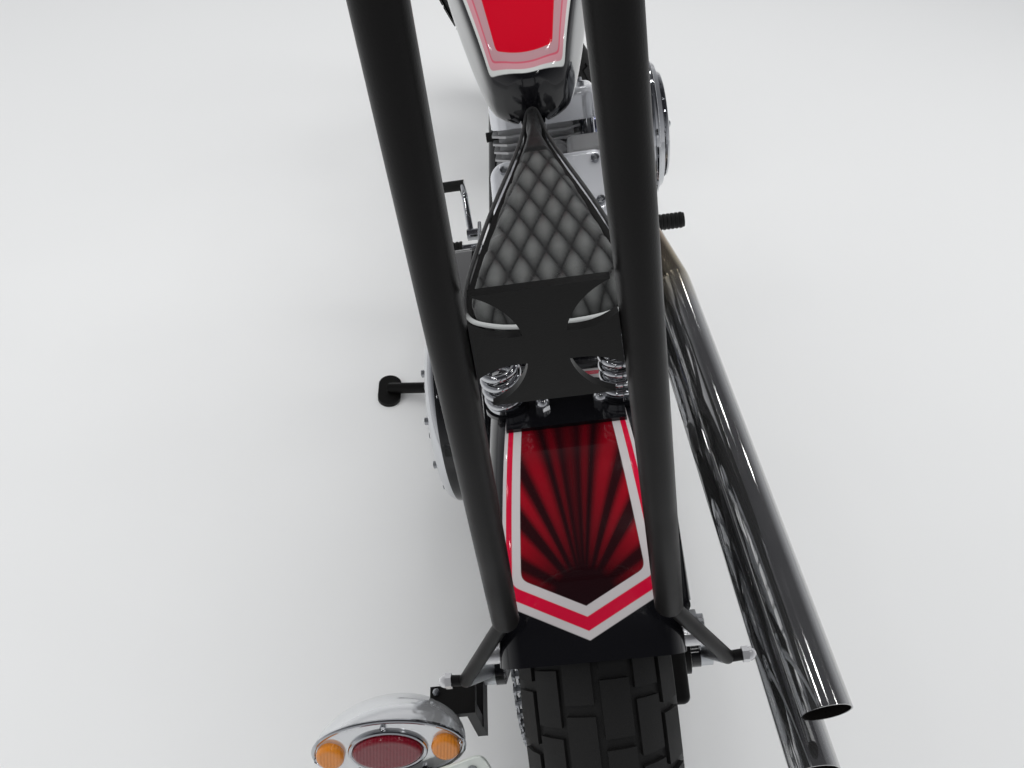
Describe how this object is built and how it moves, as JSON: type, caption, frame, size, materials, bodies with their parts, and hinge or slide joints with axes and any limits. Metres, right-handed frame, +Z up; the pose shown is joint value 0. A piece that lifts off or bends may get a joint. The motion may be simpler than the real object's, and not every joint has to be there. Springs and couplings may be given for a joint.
{
  "type": "motorcycle",
  "caption": "Rigid-frame chopper motorcycle with an air-cooled V-twin engine, tall sissy bar, narrow quilted solo seat and bobbed rear fender, leaning on its side stand.",
  "frame": {"origin": "centre of the bounding box footprint, on the floor", "axes": "+X forward, the way the motorcycle rides; +Y to the rider's left; +Z up"},
  "size_m": [2.2298, 0.7062, 1.312],
  "materials": {
    "gloss_black": "gloss black paint",
    "satin_black": "satin black paint",
    "chrome": "polished chrome plate",
    "bare_aluminium": "satin cast aluminium",
    "polished_aluminium": "polished aluminium",
    "steel": "ground steel",
    "tyre": "black tyre rubber",
    "rubber": "black rubber",
    "leather": "black quilted leather",
    "red_lens": "deep red lens",
    "amber_lens": "amber lens",
    "clear_lens": "clear glass",
    "plate_white": "pale blank enamel"
  },
  "bodies": {
    "chassis": {"air_cleaner": "chrome", "cam_cover": "polished_aluminium", "carburettor": "bare_aluminium", "crankcase": "bare_aluminium", "cross_plate": "satin_black", "cylinder_heads": "bare_aluminium", "cylinders": "satin_black", "drive_chain": "steel", "exhaust_pipes": "chrome", "foot_levers": "chrome", "foot_pegs": "satin_black", "frame": "gloss_black", "fuel_tank": "gloss_black", "gearbox": "bare_aluminium", "number_plate": "plate_white", "oil_tank": "gloss_black", "primary_case": "polished_aluminium", "pushrod_tubes": "chrome", "rear_axle": "steel", "rear_caliper": "polished_aluminium", "rear_fender": "gloss_black", "rocker_boxes": "chrome", "seat_pad": "leather", "seat_pan": "satin_black", "seat_springs": "chrome", "sissy_bar": "satin_black", "spring_strap": "chrome", "tail_light_bracket": "satin_black", "tail_light_hood": "chrome", "tail_light_lens": "red_lens", "tank_cap": "chrome", "turn_lamp_lenses": "amber_lens"},
    "rear_wheel": {"rear_tyre": "tyre", "rear_spoked_wheel": "chrome", "rear_brake_disc": "steel", "rear_sprocket": "steel"},
    "fork": {"fork_clamps": "chrome", "fork_tubes": "chrome", "fork_sliders": "polished_aluminium", "front_axle": "steel", "front_caliper": "polished_aluminium", "handlebar": "chrome", "grips": "rubber", "hand_levers": "polished_aluminium", "headlamp_shell": "chrome", "headlamp_lens": "clear_lens"},
    "front_wheel": {"front_tyre": "tyre", "front_spoked_wheel": "chrome", "front_brake_disc": "steel"},
    "stand": {"side_stand": "satin_black"}
  },
  "joints": [
    {"name": "steering", "type": "hinge", "parent": "chassis", "child": "fork", "pos_m": [0.322, 0.07101, 0.84908], "axis": [-0.6157, 0.1706, 0.7693], "range_deg": [-70, 0]},
    {"name": "rear_wheel_spin", "type": "hinge", "parent": "chassis", "child": "rear_wheel", "pos_m": [-0.79, -0.04652, 0.31895], "axis": [0, 0.9763, -0.2164], "continuous": true},
    {"name": "front_wheel_spin", "type": "hinge", "parent": "fork", "child": "front_wheel", "pos_m": [0.80518, -0.02469, 0.29817], "axis": [-0.452, 0.7233, -0.5221], "continuous": true},
    {"name": "side_stand_fold", "type": "hinge", "parent": "chassis", "child": "stand", "pos_m": [-0.19, 0.04731, 0.08613], "axis": [-0.0086, -0.3803, -0.9248], "range_deg": [-90, 0]}
  ]
}
